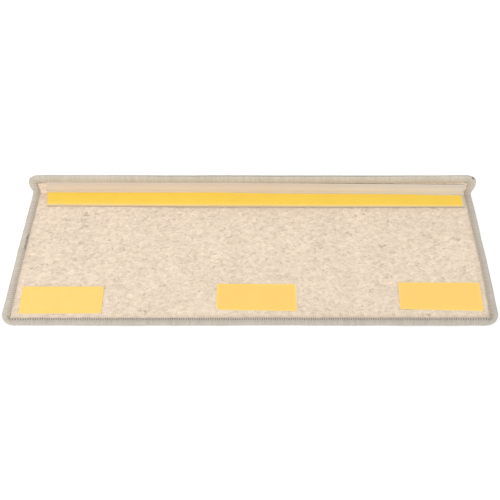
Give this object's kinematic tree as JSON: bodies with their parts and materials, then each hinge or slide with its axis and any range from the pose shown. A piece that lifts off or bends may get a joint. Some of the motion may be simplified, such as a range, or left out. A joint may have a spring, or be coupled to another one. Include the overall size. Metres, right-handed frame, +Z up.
{
  "type": "stair tread mat",
  "caption": "Flat carpet stair tread mat lying felt side up, with an upturned nose, a plastic angle in the fold and adhesive strip and pads.",
  "frame": {"origin": "middle of the mat's footprint, on the surface that its pile side lies on", "axes": "+X along the step and the nose, +Y across the tread towards the nose, +Z up, the way the nose stands"},
  "size_m": [0.65, 0.24, 0.038],
  "materials": {
    "pile": "low loop pile, heathered beige grey",
    "felt": "needled felt, cream with taupe flecks",
    "yarn": "wound whipping yarn, grey beige",
    "angle_plastic": "satin beige",
    "bond": "milky adhesive tape",
    "tape": "translucent adhesive",
    "strip_liner": "waxed release paper, strong yellow",
    "pad_liner": "waxed release paper, paler yellow"
  },
  "bodies": {
    "root": {"pile_carpet": "pile", "felt_backing": "felt", "edge_whipping": "yarn", "nosing_angle": "angle_plastic", "angle_bond_tread": "bond", "angle_bond_nose": "bond", "strip_tape": "tape", "strip_liner": "strip_liner", "pad_left_tape": "tape", "pad_left_liner": "pad_liner", "pad_middle_tape": "tape", "pad_middle_liner": "pad_liner", "pad_right_tape": "tape", "pad_right_liner": "pad_liner"}
  },
  "joints": []
}
